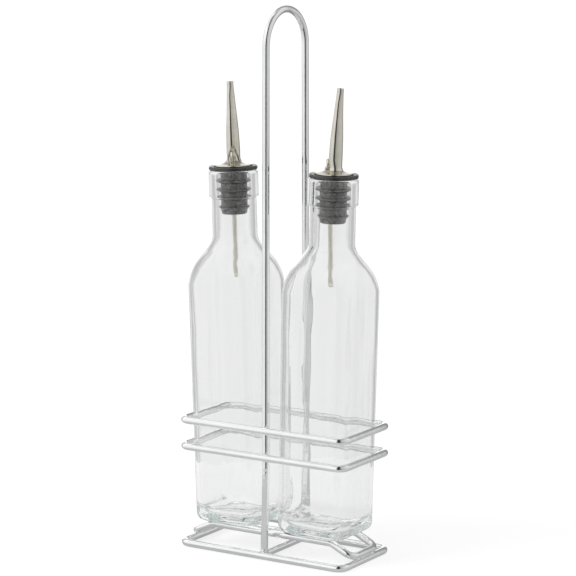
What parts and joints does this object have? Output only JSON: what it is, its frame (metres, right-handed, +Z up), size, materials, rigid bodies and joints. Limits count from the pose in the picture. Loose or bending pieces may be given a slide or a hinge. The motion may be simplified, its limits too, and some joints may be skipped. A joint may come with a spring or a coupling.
{
  "type": "cruet set",
  "caption": "Oil and vinegar cruet set: a chromed wire rack with a tall carrying loop, square glass bottles, and metal pourers in finned rubber stoppers.",
  "frame": {"origin": "on the table, under the middle of the rack", "axes": "+Z up, +X along the row of bottles, towards the right bottle, +Y towards the back"},
  "size_m": [0.1344, 0.0656, 0.374],
  "materials": {
    "rack_wire": "bright plated wire",
    "bottle_glass": "clear, polished, faint green where it is thick",
    "stopper_rubber": "moulded, matt",
    "pourer_metal": "bright plate with a warm nickel tint"
  },
  "bodies": {
    "rack": {"base_frame": "rack_wire", "bottle_rest": "rack_wire", "lower_ring": "rack_wire", "upper_ring": "rack_wire", "handle_loop": "rack_wire"},
    "left_bottle": {"left_bottle": "bottle_glass"},
    "left_stopper": {"left_stopper": "stopper_rubber"},
    "left_pourer": {"left_cap": "pourer_metal", "left_stem": "pourer_metal", "left_spout": "pourer_metal", "left_vent_tube": "pourer_metal"},
    "right_bottle": {"right_bottle": "bottle_glass"},
    "right_stopper": {"right_stopper": "stopper_rubber"},
    "right_pourer": {"right_cap": "pourer_metal", "right_stem": "pourer_metal", "right_spout": "pourer_metal", "right_vent_tube": "pourer_metal"}
  },
  "joints": [
    {"name": "left_bottle_lift", "type": "slide", "parent": "rack", "child": "left_bottle", "axis": [0, 0, 1], "range_m": [0, 0.1]},
    {"name": "left_stopper_pull", "type": "slide", "parent": "left_bottle", "child": "left_stopper", "axis": [-0.0305, 0, 0.9995], "range_m": [0, 0.09]},
    {"name": "left_spout_turn", "type": "hinge", "parent": "left_stopper", "child": "left_pourer", "pos_m": [-0.04091, 0, 0.26093], "axis": [-0.0305, 0, 0.9995], "continuous": true},
    {"name": "right_bottle_lift", "type": "slide", "parent": "rack", "child": "right_bottle", "axis": [0, 0, 1], "range_m": [0, 0.1]},
    {"name": "right_stopper_pull", "type": "slide", "parent": "right_bottle", "child": "right_stopper", "axis": [0.0253, 0, 0.9997], "range_m": [0, 0.09]},
    {"name": "right_spout_turn", "type": "hinge", "parent": "right_stopper", "child": "right_pourer", "pos_m": [0.03921, 0, 0.2609], "axis": [0.0253, 0, 0.9997], "continuous": true}
  ]
}
